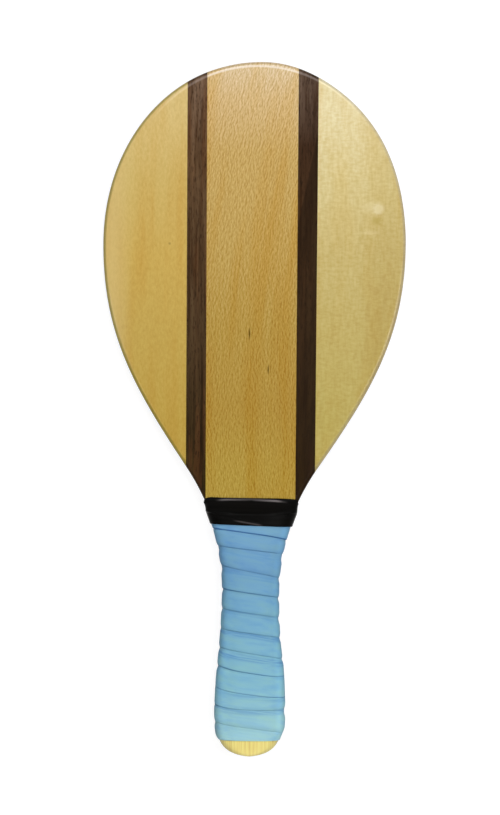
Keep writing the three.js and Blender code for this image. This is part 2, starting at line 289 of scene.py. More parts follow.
def steamedBeech():
    # Steamed beech, flat sawn: warm tan, crowded with short ray flecks. It is painted paler toward the crown,
    # a painted sheen, and darker toward the neck, painted shade
    look = plankLook
    material, tree, coords, parts = newWood("steamedBeech")
    # the grain bends over to the right toward the crown, by up to 13 degrees
    above = addNode(tree, "ShaderNodeMath", {"operation": "SUBTRACT"}, {
        0: parts.outputs["Y"], 1: spot(0, look["bendsFrom"], 0).y})
    squared = addNode(tree, "ShaderNodeMath", {"operation": "MULTIPLY"}, {
        0: above.outputs[0], 1: above.outputs[0]})
    leaned = addNode(tree, "ShaderNodeMath", {"operation": "MULTIPLY_ADD"}, {
        0: squared.outputs[0], 1: -look["bend"], 2: parts.outputs["X"]})
    grain = addNode(tree, "ShaderNodeCombineXYZ", {}, {
        "X": leaned.outputs[0], "Y": parts.outputs["Y"], "Z": parts.outputs["Z"]}).outputs[0]
    colour = toneAlong(tree, parts, look["tones"])
    board = grainPattern(tree, grain, look["boards"], 3, 0.5)
    colour = tinted(tree, colour, board.outputs["Fac"], [(0.34, "#f9efd2"), (0.52, "#ffffff")])
    # ray flecks: fine strokes 3 to 5 mm long, each dark on its left and light on its right, as if cut in.
    # They are drawn about 1.3 mm apart, because the real ones are too fine to show
    flecks, moved = [grainPattern(tree, grain, look["flecks"], 2, 0.55, shift=shift).outputs["Fac"]
                     for shift in (look["fleckShift"], -look["fleckShift"])]
    stroke = addNode(tree, "ShaderNodeMath", {"operation": "SUBTRACT"}, {0: flecks, 1: moved})
    strokeTone = addNode(tree, "ShaderNodeMapRange", {}, {
        "Value": stroke.outputs[0], "From Min": -0.22, "From Max": 0.22})
    colour = tinted(tree, colour, strokeTone.outputs[0], [
        (0.1, "#e0d1af"), (0.5, "#f6f1e3"), (0.9, "#ffffff")])
    # pores between them, drawn 1.4 mm wide for the same reason
    pores = grainPattern(tree, grain, look["pores"], 2, 0.6)
    colour = tinted(tree, colour, pores.outputs["Fac"], [(0.3, "#eee7d6"), (0.7, "#ffffff")])
    # a few flecks stand out darker
    darkSpace = addNode(tree, "ShaderNodeMapping", {}, {
        "Vector": grain, "Scale": perMm(*look["darkFlecks"])})
    darkFlecks = addNode(tree, "ShaderNodeTexVoronoi", {"feature": "F1"}, {
        "Vector": darkSpace.outputs[0], "Scale": 1, "Randomness": 1})
    colour = tinted(tree, colour, darkFlecks.outputs["Distance"], [(0.04, "#e9ddbe"), (0.24, "#ffffff")])
    # two dark pin marks, long along the grain
    weights = Vector((1, look["pinAlong"], 0))
    stretched = addNode(tree, "ShaderNodeVectorMath", {"operation": "MULTIPLY"}, {0: coords, 1: weights})
    for x, s, size in look["pins"]:
        away = addNode(tree, "ShaderNodeVectorMath", {"operation": "DISTANCE"}, {
            0: stretched.outputs[0], 1: spot(x, s, 0) * weights}).outputs["Value"]
        colour = blended(tree, colour, away, (0.2 * mm, size * mm), (1, 0), "#5c4208", smooth=False)
    dents = addNode(tree, "ShaderNodeBump", {}, {"Height": flecks, "Strength": 0.2, "Distance": 0.04 * mm})
    colour = bladeEdge(tree, coords, parts, colour, look)
    surface(tree, {"Base Color": colour, "Normal": dents.outputs[0], **lacquer})
    return material


# The handle cheeks' wood: sizes in mm
cheekLook = {
    # partly painted light: brighter than the centre plank's beech, as if lit at the butt
    "tones": [(0.28, "#dfc06a"), (0.44, "#f0dc84"), (0.58, "#f6e68c"), (0.72, "#faef9e")],
    "lines": (0.62, 22, 12),
}


def paleBeech():
    # Pale beech, quarter sawn: creamy yellow with straight fine orange lines. Its bright yellow is partly
    # painted light, for the strong light at the butt
    material, tree = newMaterial("paleBeech")
    coords = addNode(tree, "ShaderNodeTexCoord").outputs["Object"]
    lines = grainPattern(tree, coords, cheekLook["lines"], 3, 0.6).outputs["Fac"]
    tone = addNode(tree, "ShaderNodeValToRGB", {}, {"Fac": lines}, cheekLook["tones"])
    dents = addNode(tree, "ShaderNodeBump", {}, {"Height": lines, "Strength": 0.2, "Distance": 0.05 * mm})
    surface(tree, {"Base Color": tone.outputs[0], "Normal": dents.outputs[0], **lacquer})
    return material


# The two walnut strips' wood: sizes and places in mm, angles in degrees
walnutLook = {
    "streaks": (3.4, 70, 3.4), "stripes": (5, 120, 5), "pores": (0.7, 5, 0.7),
    # painted shade on the rounded edge, and the crown's painted highlight
    "rim": ("#2a1f14", 0.3), "glint": ("#fff0e8", 0.11),
    "coat": 0.2,  # its open pores dull the lacquer
    "left": {
        # paler toward the crown, a painted sheen
        "tones": [
            (0.4, "#372a10"), (0.55, "#473520"), (0.7, "#5d4730"), (0.86, "#684f37"), (0.97, "#785f4b")],
        "warm": "#74492a", "heart": None},
    "right": {
        # paler toward the crown, a painted sheen
        "tones": [
            (0.4, "#3c290b"), (0.55, "#443018"), (0.7, "#503921"), (0.88, "#3f2a1b"), (0.97, "#675345")],
        "warm": "#4f3019", "heart": {"x": 38.6, "s": 410.7, "lean": 11.4, "depth": 0.55}},
}


def blackWalnut(name, strip):
    # Black walnut, sawn along the grain: deep brown in long uneven streaks, with fine dark pores
    look, own = walnutLook, walnutLook[strip]
    material, tree, coords, parts = newWood(name)
    colour = toneAlong(tree, parts, own["tones"])
    streaks = grainPattern(tree, coords, look["streaks"], 4, 0.62, distortion=0.4)
    colour = tinted(tree, colour, streaks.outputs["Fac"], [(0.36, "#b3a79a"), (0.6, "#ffffff")])
    # warmer heart stripes, wider than the streaks
    stripes = grainPattern(tree, coords, look["stripes"], 2, 0.5)
    colour = blended(tree, colour, stripes.outputs["Fac"], (0.5, 0.64), (0, 0.25), own["warm"])
    pores = grainPattern(tree, coords, look["pores"], 2, 0.6)
    poreMask = addNode(tree, "ShaderNodeMapRange", {"interpolation_type": "SMOOTHSTEP"}, {
        "Value": pores.outputs["Fac"], "From Min": 0.5, "From Max": 0.7, "To Min": 0, "To Max": 0.6})
    colour = addNode(tree, "ShaderNodeMix", {"data_type": "RGBA"}, {
        0: poreMask.outputs[0], 6: colour, 7: linear("#1d130a")}).outputs[2]
    heart = own["heart"]
    if heart:
        # the darker heartwood starts along a slanted line across the strip
        slant = addNode(tree, "ShaderNodeVectorRotate", {"rotation_type": "Z_AXIS"}, {
            "Vector": coords, "Center": spot(heart["x"], heart["s"], 0),
            "Angle": math.radians(heart["lean"])})
        side = addNode(tree, "ShaderNodeSeparateXYZ", {}, {"Vector": slant.outputs[0]}).outputs["X"]
        border = (heart["x"] - 0.5) * mm, (heart["x"] + 0.7) * mm
        colour = blended(tree, colour, side, border, (0, heart["depth"]), "#21160c")
    dents = addNode(tree, "ShaderNodeBump", {"invert": True}, {
        "Height": poreMask.outputs[0], "Strength": 0.3, "Distance": 0.05 * mm})
    colour = bladeEdge(tree, coords, parts, colour, look)
    surface(tree, {"Base Color": colour, "Normal": dents.outputs[0], **lacquer, "Coat Weight": look["coat"]})
    return material


# The left wing's wood: sizes and places in mm
leftWingLook = {
    # painted sheen paler toward the crown, and painted shade deeper toward the neck
    "tones": [(0.48, "#c0a24b"), (0.61, "#c6a855"), (0.72, "#ceae5c"), (0.83, "#d3b86f"), (0.93, "#ddc484")],
    "streaks": (9, 110, 9), "fibres": (1.4, 3.4, 1.4), "pin": (-58.8, 354, 5), "sapwood": (-98, -82),
    # painted shade on the rounded edge, darker on this side, and the crown's painted highlight
    "rim": ("#7c7c34", 0.48), "glint": ("#fff0cc", 0.4),
}


def straightPoplar():
    # Poplar with straight grain: golden and nearly plain, in wide faint streaks
    look = leftWingLook
    material, tree, coords, parts = newWood("straightPoplar")
    colour = toneAlong(tree, parts, look["tones"])
    streaks = grainPattern(tree, coords, look["streaks"], 3, 0.5)
    colour = tinted(tree, colour, streaks.outputs["Fac"], [(0.32, "#f9efdb"), (0.6, "#ffffff")])
    # short fibres, drawn at 1.4 mm because the real ones are too fine to show
    fibres = grainPattern(tree, coords, look["fibres"], 3, 0.7)
    colour = tinted(tree, colour, fibres.outputs["Fac"], [(0.3, "#f1ebdb"), (0.66, "#ffffff")])
    # one small pin knot
    away = addNode(tree, "ShaderNodeVectorMath", {"operation": "DISTANCE"}, {
        0: coords, 1: spot(*look["pin"])}).outputs["Value"]
    colour = blended(tree, colour, away, (0.4 * mm, 1.1 * mm), (0.5, 0), "#7a6228", smooth=False)
    # a paler band of sapwood along the outer edge
    band = [x * mm for x in look["sapwood"]]
    colour = blended(tree, colour, parts.outputs["X"], band, (0.3, 0), "#e1cf97")
    surface(tree, {"Base Color": bladeEdge(tree, coords, parts, colour, look), **lacquer})
    return material


# The right wing's wood: sizes and places in mm
rightWingLook = {
    # painted sheen paler toward the crown, and painted shade deeper toward the neck
    "tones": [(0.48, "#bfaf63"), (0.61, "#c6b46f"), (0.72, "#cfbe81"), (0.83, "#e0d29e"), (0.94, "#efe3b9")],
    "streaks": (14, 80, 14), "ripples": (4, 1.9, 4), "fibres": (1.7, 9, 1.7), "wave": 3,
    "outerEdge": (64, 94),
    # patches round the knot, and last the knot itself: place, how much the distance across counts, reach,
    # share and colour
    "knot": ((83, 382, 0.6, 7, 0.3, "#ede2b4"), (86, 372.8, 0.8, 4.2, 0.75, "#bda75c"),
             (82.3, 364.4, 0.2, 1.7, 0.3, "#ece0b0"), (87, 381, 1, 5.2, 0.55, "#f4ebc9")),
    # painted light on the rounded edge, paler on this side, and the crown's painted highlight
    "rim": ("#adacb3", 0.2), "glint": ("#fff4cc", 0.5),
}


def curlyPoplar():
    # Poplar with a curl: paler, faintly mottled like cloth, with one small closed knot
    look = rightWingLook
    material, tree, coords, parts = newWood("curlyPoplar")
    colour = toneAlong(tree, parts, look["tones"])
    streaks = grainPattern(tree, coords, look["streaks"], 2, 0.5)
    colour = tinted(tree, colour, streaks.outputs["Fac"], [(0.34, "#fcf7eb"), (0.62, "#ffffff")])
    # the curl's ripples across the grain, and short fibres along it
    ripples = grainPattern(tree, coords, look["ripples"], 2, 0.6)
    colour = tinted(tree, colour, ripples.outputs["Fac"], [(0.32, "#f5f0e2"), (0.64, "#ffffff")])
    fibres = grainPattern(tree, coords, look["fibres"], 3, 0.6)
    colour = tinted(tree, colour, fibres.outputs["Fac"], [(0.34, "#f6f1e5"), (0.64, "#ffffff")])
    # the knot runs through the board, pale with a paler ring. The grain is pale on its left and darker below
    wave = look["wave"] * mm
    wavy = addNode(tree, "ShaderNodeVectorMath", {"operation": "MULTIPLY_ADD"}, {
        0: ripples.outputs["Color"], 1: (wave, wave, 0), 2: coords})
    for x, s, across, reach, share, tint in look["knot"]:
        weights = Vector((across, 1, 0))
        stretched = addNode(tree, "ShaderNodeVectorMath", {"operation": "MULTIPLY"}, {
            0: wavy.outputs[0], 1: weights})
        away = addNode(tree, "ShaderNodeVectorMath", {"operation": "DISTANCE"}, {
            0: stretched.outputs[0], 1: spot(x, s, 0) * weights}).outputs["Value"]
        colour = blended(tree, colour, away, (0.2 * reach * mm, reach * mm), (share, 0), tint)
    colour = blended(tree, colour, away, (1.1 * mm, 2.8 * mm), (0.45, 0), "#dccd92")
    # deeper toward the outer edge
    inner, outer = look["outerEdge"]
    outward = addNode(tree, "ShaderNodeMapRange", {"interpolation_type": "SMOOTHSTEP"}, {
        "Value": parts.outputs["X"], "From Min": inner * mm, "From Max": outer * mm})
    colour = addNode(tree, "ShaderNodeMix", {"data_type": "RGBA", "blend_type": "MULTIPLY"}, {
        0: outward.outputs[0], 6: colour, 7: linear("#f4f0e3")}).outputs[2]
    surface(tree, {"Base Color": bladeEdge(tree, coords, parts, colour, look), **lacquer})
    return material


beech = steamedBeech()
cheekBeech = paleBeech()
walnutLeft = blackWalnut("blackWalnut", "left")
walnutRight = blackWalnut("blackWalnutHeart", "right")
poplarLeft = straightPoplar()
poplarRight = curlyPoplar()
print("wood finished")

# The blade's glue-up and the handle, in mm
blade = {
    "thickness": 10, "edgeRadius": 2.75, "edgeSegments": 8, "shortestEdge": 2, "faceBorder": 0.3,
    "plankWidth": 62.8, "stripWidth": 13.7, "shift": 1.65,
    # the seams stray this many degrees, turned at this height
    "leans": (0.39, 0.41, 0.18, 0.11), "levelAt": 336,
    # how much further the right shoulder stands out than the left one, and the heights where that sets in
    "shoulder": 2, "shoulderFrom": (365, 450),
    # how much higher the crown is at a place on its right, how far round it, and the heights for that
    "crownRise": 1.1, "crownRiseAt": 17, "crownRiseReach": 45, "crownRiseFrom": (380, 440),
}
handle = {
    "thickness": 24, "bevelAt": 167.5, "bevelEndAt": 174.5, "bevelSteps": (0, 2, 4, 6), "overlap": 1,
    "rimRadius": 2, "rimSteps": 8, "power": 3, "neckPower": 12, "sides": 96,
}
halfBlade = blade["thickness"] / 2


def bevelShare(s):
    return min(max((s - handle["bevelAt"]) / (handle["bevelEndAt"] - handle["bevelAt"]), 0), 1)


def halfThicknessAt(s):
    # rounded at the butt's rim, level, then bevelled down to the blade
    half, radius = handle["thickness"] / 2, handle["rimRadius"]
    if s < radius:
        return half - radius + math.sqrt(radius ** 2 - (radius - s) ** 2)
    return half + (halfBlade - half) * bevelShare(s)


def powerAt(s):
    return handle["power"] + (handle["neckPower"] - handle["power"]) * bevelShare(s)


def bladeBoard():
    # the outline as one face, drawn out to the blade's thickness, with both rims rounded over
    b, radius, bevelAt, bevelEnd = blade, blade["edgeRadius"], handle["bevelAt"], handle["bevelEndAt"]
    left = [(w, s) for w, s in outline if s > bevelEnd + b["shortestEdge"]]  # shorter ones wouldn't bevel
    left += [(halfWidthAt(bevelEnd), bevelEnd), (halfWidthAt(bevelAt) - radius, bevelAt)]
    right = [(w + b["shoulder"] * smoothShare(s, *b["shoulderFrom"]), s) for w, s in left]
    ring = right + [(-w, s) for w, s in reversed(left[1:])]
    ring = [(w, s + b["crownRise"] * smoothShare(s, *b["crownRiseFrom"]) * (
        1 - smoothShare(abs(w - b["crownRiseAt"]), 0, b["crownRiseReach"]))) for w, s in ring]
    bm = bmesh.new()
    bm.faces.new([bm.verts.new(spot(x, s, -halfBlade)) for x, s in ring])
    drawn = bmesh.ops.extrude_face_region(bm, geom=bm.faces[:])
    bmesh.ops.translate(bm, vec=(0, 0, b["thickness"] * mm),
                        verts=[part for part in drawn["geom"] if isinstance(part, bmesh.types.BMVert)])
    bmesh.ops.recalc_face_normals(bm, faces=bm.faces)
    faces = [face for face in bm.faces if len(face.verts) > 4]
    rims = [edge for face in faces for edge in face.edges]
    bmesh.ops.bevel(bm, geom=rims, affect="EDGES", offset=radius * mm, offset_type="OFFSET",
                    segments=b["edgeSegments"], profile=0.5, material=-1, clamp_overlap=False)
    faces = [face for face in bm.faces if len(face.verts) > 4]
    # a narrow border keeps the shading of the flat faces flat
    bmesh.ops.inset_region(bm, faces=faces, thickness=b["faceBorder"] * mm, use_even_offset=True)
    # the border's faces come in another order each run, so all is sorted by where it is
    order = Vector((1, 7.3, 53.1))
    bm.verts.sort(key=lambda vert: vert.co.dot(order))
    for parts in (bm.edges, bm.faces):
        parts.sort(key=lambda part: sum(vert.co.dot(order) for vert in part.verts))
    return bm


def handleBody():
    # the whole handle as one oval body. Its bevel ends inside the blade's board
    h = handle
    rounding = [h["rimRadius"] * (1 - math.cos(math.radians(90 * i / h["rimSteps"])))
                for i in range(h["rimSteps"])]
    body = [s for s in outlineHeights if h["rimRadius"] <= s < h["bevelAt"]]
    bevel = [h["bevelAt"] + i for i in h["bevelSteps"]]
    stations = [(s, halfWidthAt(s), halfThicknessAt(s)) for s in rounding + body + bevel]
    end = h["bevelEndAt"] + h["overlap"]
    stations.append((end, halfWidthAt(end) - blade["edgeRadius"], halfBlade - h["overlap"]))

    def place(u, v):
        s, halfWidth, halfThickness = stations[round(v * (len(stations) - 1))]
        return ovalPoint(u * 2 * math.pi, s, halfWidth, halfThickness, powerAt(s)), (u, v)

    bm = rolledSheet(h["sides"], len(stations) - 1, place)
    bmesh.ops.remove_doubles(bm, verts=bm.verts, dist=weld)
    bmesh.ops.holes_fill(bm, edges=[edge for edge in bm.edges if edge.is_boundary], sides=0)
    bmesh.ops.recalc_face_normals(bm, faces=bm.faces)
    return bm


def cut(body, *planes):
    # what is left of a body behind each plane, with the cuts closed
    bm = body.copy()
    for point, normal in planes:
        bmesh.ops.bisect_plane(bm, geom=bm.verts[:] + bm.edges[:] + bm.faces[:], dist=weld / 10,
                               plane_co=point, plane_no=normal, clear_outer=True)
        bmesh.ops.holes_fill(bm, edges=[edge for edge in bm.edges if edge.is_boundary], sides=0)
    bmesh.ops.recalc_face_normals(bm, faces=bm.faces)
    return bm


def joined(first, second):
    # two bodies as one closed body
    parts = []
    for bm in (first, second):
        mesh = bpy.data.meshes.new("part")
        bm.to_mesh(mesh)
        parts.append(bpy.data.objects.new("part", mesh))
        bpy.context.scene.collection.objects.link(parts[-1])
    union = parts[0].modifiers.new("union", "BOOLEAN")
    union.operation, union.solver, union.object = "UNION", "MANIFOLD", parts[1]
    evaluated = parts[0].evaluated_get(bpy.context.evaluated_depsgraph_get())
    bm = bmesh.new()
    bm.from_mesh(evaluated.to_mesh())
    evaluated.to_mesh_clear()
    for part in parts:
        bpy.data.meshes.remove(part.data)
    return bm


board = bladeBoard()
grip = handleBody()
half = blade["plankWidth"] / 2
seams = [-blade["shift"] - half - blade["stripWidth"], -blade["shift"] - half,
         -blade["shift"] + half, -blade["shift"] + half + blade["stripWidth"]]
front, back = (0, 0, 1), (0, 0, -1)


def strip(low, high):
    # the blade's part between two seams
    planes = []
    for seam, side in ((low, -1), (high, 1)):
        if seam is not None:
            lean = math.radians(blade["leans"][seam])
            outward = Vector((math.cos(lean), math.sin(lean), 0)) * side
            planes.append((spot(seams[seam], blade["levelAt"], 0), outward))
    return cut(board, *planes)


addPiece("poplarWingLeft", strip(None, 0), poplarLeft, "poplar_wing_left")
addPiece("walnutStripLeft", strip(0, 1), walnutLeft, "walnut_strip_left")
addPiece("walnutStripRight", strip(2, 3), walnutRight, "walnut_strip_right")
addPiece("poplarWingRight", strip(3, None), poplarRight, "poplar_wing_right")
plankTail = cut(grip, (spot(0, 0, halfBlade), front), (spot(0, 0, -halfBlade), back))
addPiece("centrePlank", joined(strip(1, 2), plankTail), beech, "centre_plank")
addPiece("cheekFront", cut(grip, (spot(0, 0, halfBlade), back)), cheekBeech, "handle_cheek_front")
addPiece("cheekBack", cut(grip, (spot(0, 0, -halfBlade), front)), cheekBeech, "handle_cheek_back")
print("wood glued up")

# The overgrip in mm: a sheet wound up the handle, each turn lying over the upper edge of the turn before
gripTape = {
    "width": 22.5, "thickness": 0.85, "firstLayer": 0.9, "secondLayer": 0.85, "bottom": 11, "top": 167.3,
    "firstTurn": -1.5, "lastTurn": 11, "turnLength": 120, "pitch": 13.4, "fall": 4.5,
    "stepsPerTurn": 96, "rows": 34,
    # heights at which each turn's free edge passes two places on the front, near its right and left sides,
    # and how far it sags between them
    "rightEdges": (16.9, 33.1, 41.1, 55.6, 68.0, 82.5, 96.3, 110.1, 124.0, 140.2, 150.2),
    "leftEdges": (22.4, 34.9, 46.6, 61.8, 74.2, 87.4, 101.2, 115.0, 130.9, 144.7, 156.4),
    "sags": (0, 1.9, 1.2, 1.2, 0, 0, 0, 0, 0, 0, -0.6),
    # how much of its climb is made before the first place, between the two, and across the flat of a face
    "before": 0.11, "between": 0.78, "onFlat": 0.75,
    # how dark the band of painted shade below each free edge is, how far below it starts, and how it fades
    "bands": (0.1, 0.6, 0.4, 0.1, 0.9, 0.9, 0.6, 0.1, 0.6, 0.5, 0.1),
    "bandDrops": (0, 0, 0, 0, 2.6, 0.5, 0, 0, 2, 2.6, 0),
    "bandStart": (-2, 0), "bandEnd": (1.2, 4.5),
    # how deep each free edge shows, in its step and its line of painted shade, at the right, in the middle and
    # at the left, and how near a side is meant
    "rightLines": (0, 0.15, 0.75, 0.6, 0.25, 0.1, 0.1, 0.35, 0.2, 0.05, 1),
    "lines": (0, 0.3, 0.5, 0.65, 0.2, 0.35, 0.35, 0.55, 0.2, 0.4, 1),
    "leftLines": (0.05, 0.7, 0.4, 0.6, 0.3, 0.15, 0.25, 0.8, 0.3, 0.4, 1), "sideAt": 0.95,
    # how high a faint edge's step is, how wide it is rounded, and how much these change at a deep one
    "edgeStep": (0.04, 0.36), "edgeRound": (3.4, 2),
    # how much fuller it is on the right near the butt, how near that side, and the heights for that
    "fuller": 0.75, "fullerSide": (0.2, 0.9), "fullerFrom": (11, 17), "fullerTo": (60, 80),
    "unevenness": ((0.1, 0.11), (0.05, 0.35)),  # each with its height, and its waves in a mm
    # how much paler the sides are painted, as painted light, and where that sets in, as shares of the half
    # width
    "sideLightLeft": (0.15, 0.55, 0.95), "sideLightRight": (0.2, 0.76, 0.97),
}
# Its finish: sizes in mm along the tape and across it, and the heights that its tones run between
gripLook = {
    # painted light: paler and greener toward the butt, and darker toward the neck
    "tones": [(0, "#a5d4e0"), (0.1, "#98c9d7"), (0.25, "#87bdd2"), (0.42, "#82b7cf"), (0.59, "#79adca"),
              (0.74, "#70a1c6"), (0.85, "#74a5c9")],
    "tonesFrom": 10, "tonesTo": 170, "clouds": (16, 6, 1000), "grain": (1.4, 0.9, 1000),
    "creases": (22, 1.3, 1000), "edgeLine": (0.2, 1.15),
}


def polyurethaneTape():
    # Polyurethane overgrip on a felt back: matt sky blue, slightly cloudy, with painted shade in a band below
    # each free edge and along the edge, and painted paler and greener toward the butt as painted light
    look = gripLook
    material, tree = newMaterial("polyurethaneTape")
    sheet = addNode(tree, "ShaderNodeUVMap", {"uv_map": "flat"}).outputs[0]
    parts = addNode(tree, "ShaderNodeSeparateXYZ", {}, {
        "Vector": addNode(tree, "ShaderNodeTexCoord").outputs["Object"]})
    bandShade, shaded, paintedLight = [addNode(tree, "ShaderNodeAttribute", {"attribute_name": name}).outputs["Fac"]
                              for name in ("bandShade", "shaded", "paintedLight")]
    colour = toneAlong(tree, parts, look["tones"], look["tonesFrom"], look["tonesTo"])
    clouds = grainPattern(tree, sheet, look["clouds"], 3, 0.6)
    colour = tinted(tree, colour, clouds.outputs["Fac"], [
        (0.32, "#e2edfb"), (0.5, "#f6fafa"), (0.66, "#fffff4")])
    # creases along the pull, which break up the bands of painted shade
    creases = grainPattern(tree, sheet, look["creases"], 2, 0.5).outputs["Fac"]
    creaseMask = addNode(tree, "ShaderNodeMapRange", {"interpolation_type": "SMOOTHSTEP"}, {
        "Value": creases, "From Min": 0.38, "From Max": 0.6, "To Min": 0.15, "To Max": 1.1})
    bands = addNode(tree, "ShaderNodeMath", {"operation": "MULTIPLY"}, {
        0: bandShade, 1: creaseMask.outputs[0]})
    colour = addNode(tree, "ShaderNodeMix", {"data_type": "RGBA"}, {
        0: bands.outputs[0], 6: colour, 7: linear("#5f95c0")}).outputs[2]
    # painted shade along the free edge, in a line about a millimetre wide
    edge, inside = look["edgeLine"]
    nearEdge = addNode(tree, "ShaderNodeMapRange", {"interpolation_type": "SMOOTHSTEP"}, {
        "Value": addNode(tree, "ShaderNodeSeparateXYZ", {}, {"Vector": sheet}).outputs["Y"],
        "From Min": edge * mm, "From Max": inside * mm, "To Min": 1, "To Max": 0})
    edgeMask = addNode(tree, "ShaderNodeMath", {"operation": "MULTIPLY"}, {
        0: nearEdge.outputs[0], 1: shaded})
    colour = addNode(tree, "ShaderNodeMix", {"data_type": "RGBA", "blend_type": "MULTIPLY"}, {
        0: edgeMask.outputs[0], 6: colour, 7: linear("#6a9bcb")}).outputs[2]
    # painted light: paler on the handle's sides, to lift their shading
    colour = addNode(tree, "ShaderNodeVectorMath", {"operation": "SCALE"}, {
        0: colour, "Scale": paintedLight}).outputs[0]
    # coating grain, drawn at 1 mm because the real grain is too fine to show
    grain = grainPattern(tree, sheet, look["grain"], 2, 0.6)
    fineBump = addNode(tree, "ShaderNodeBump", {}, {
        "Height": grain.outputs["Fac"], "Strength": 0.3, "Distance": 0.08 * mm})
    creaseBump = addNode(tree, "ShaderNodeBump", {}, {
        "Height": creases, "Normal": fineBump.outputs[0], "Strength": 0.4, "Distance": 0.2 * mm})
    surface(tree, {"Base Color": colour, "Normal": creaseBump.outputs[0], "Roughness": 0.66, "IOR": 1.48,
                   "Specular IOR Level": 0.3})
    return material


def frontShare(angle):
    # how much of the climb across a face is made by an angle
    flat = gripTape["onFlat"]
    across = math.copysign(abs(math.cos(angle)) ** (2 / handle["power"]), math.cos(angle))
    return (1 - flat) * angle / math.pi + flat * (1 - across) / 2


def edgeSides(turn):
    # height of a turn's free edge at the right side and at the left side
    g = gripTape
    nearest = min(max(turn, 0), len(g["rightEdges"]) - 1)
    rise = (g["leftEdges"][nearest] - g["rightEdges"][nearest]) / g["between"]
    low = g["rightEdges"][nearest] - g["before"] * rise + g["pitch"] * (turn - nearest)
    return low, low + rise


def wholeTurns(turn):
    return math.floor(turn + 1e-6)  # rounding can leave a whole turn a hair short


def freeEdge(turn):
    # height of the free edge at any place along the winding
    whole = wholeTurns(turn)
    angle = max(turn - whole, 0) * 2 * math.pi
    low, high = edgeSides(whole)
    if angle <= math.pi:
        sags = gripTape["sags"]
        sag = sags[whole] if 0 <= whole < len(sags) else 0
        return low + (high - low) * frontShare(angle) - sag * math.sin(angle) ** 2
    return high + (edgeSides(whole + 1)[0] - high) * (1 - frontShare(2 * math.pi - angle))


def held(turn, values):
    # the value for the turn that this place belongs to
    return values[min(max(wholeTurns(turn), 0), len(values) - 1)]


def lineStrength(turn):
    # how deep the free edge shows at any place along the winding
    g = gripTape
    across = math.cos((turn - math.floor(turn)) * 2 * math.pi)
    front, side = held(turn, g["lines"]), held(turn, g["rightLines"] if across > 0 else g["leftLines"])
    return front + (side - front) * smoothShare(abs(across), 0, g["sideAt"])


def covered(turn, s):
    # how far a place on a turn is lifted by the turn before it, which lies below
    g = gripTape
    edge = freeEdge(turn - 1) + g["width"]
    return 1 - smoothShare(s, edge, edge + g["fall"]) if turn - 1 >= g["firstTurn"] else 0


def gripSheet():
    g = gripTape
    first, turns = g["firstTurn"], g["lastTurn"] - g["firstTurn"]
    length, halfThickness, power = turns * g["turnLength"], handle["thickness"] / 2, handle["power"]

    def place(u, v):
        turn = first + turns * u
        edge = freeEdge(turn)
        low = max(edge, g["bottom"])
        high = min(edge + g["width"], g["top"])
        s = low + (high - low) * v
        out = g["firstLayer"] + g["secondLayer"] * covered(turn, s)
        below = g["firstLayer"] + g["secondLayer"] * covered(turn - 1, s)
        # the free edge is thinned and rounded, and the band is a little uneven
        line = lineStrength(turn)
        (step, deeper), (wide, sharper) = g["edgeStep"], g["edgeRound"]
        thinned = max(out - below - step - deeper * line, 0)
        out -= thinned * (1 - smoothShare(s - edge, -1, wide - sharper * line))
        angle = (turn - math.floor(turn)) * 2 * math.pi
        out += g["fuller"] * smoothShare(math.cos(angle), *g["fullerSide"]) * smoothShare(
            s, *g["fullerFrom"]) * (1 - smoothShare(s, *g["fullerTo"]))
        around = ovalPoint(angle, s, 20, halfThickness, power) * 1000  # on an even oval, in mm
        out += sum(height * noise.noise(around * waves) for height, waves in g["unevenness"])
        return (ovalPoint(angle, s, halfWidthAt(s) + out, halfThickness + out, power),
                (u * length * mm, (s - edge) * mm))

    bm = rolledSheet(round(turns * g["stepsPerTurn"]), g["rows"], place)
    bandShade, shaded, paintedLight = [bm.verts.layers.float.new(name) for name in ("bandShade", "shaded", "paintedLight")]
    bm.verts.ensure_lookup_table()
    flat = bm.loops.layers.uv["flat"]
    (left, *leftReach), (right, *rightReach) = g["sideLightLeft"], g["sideLightRight"]
    for vert in bm.verts:
        u, v = vert.link_loops[0][flat].uv
        turn = first + u / (length * mm) * turns
        toNext = freeEdge(turn + 1) - freeEdge(turn) - v / mm - held(turn + 1, g["bandDrops"])  # in mm
        vert[bandShade] = held(turn + 1, g["bands"]) * (
            1 - smoothShare(toNext, *g["bandEnd"])) * smoothShare(toNext, *g["bandStart"])
        vert[shaded] = lineStrength(turn)
        side = vert.co.x / mm / halfWidthAt(vert.co.y / mm + racket["length"] / 2)
        vert[paintedLight] = 1 + left * smoothShare(-side, *leftReach) + right * smoothShare(side, *rightReach)
    return bm


blueTape = polyurethaneTape()
winding = addPiece("gripTape", gripSheet(), blueTape, "grip_tape", sharp=50)
addWall(winding, gripTape["thickness"])
print("grip wound")

# The finishing tape in mm: a sleeve over the top of the grip that bridges the bevel and lands on the blade
finishTape = {
    "bottom": 159.5, "width": 15.6, "thickness": 0.45, "overGrip": 2.84, "overBlade": 0.88,
    "tilt": 0.8, "steps": 240, "rows": 60, "sheetLength": 110,
    # how far below the bevel it lets go, how far below its top it lands, how much of the bridge is straight,
    # and how much of its way is taken up by letting go
    "letsGo": 0.9, "landing": 1, "straight": 0.4, "easing": 0.2,
    "bow": 3.2, "bowPower": 16, "sag": 1.1, "sagFrom": (0.45, 0.9),
    "endAt": 15, "endSlope": 0.21, "step": 0.3, "stepWidth": 0.5,  # the outer wrap ends along a slanted line
}
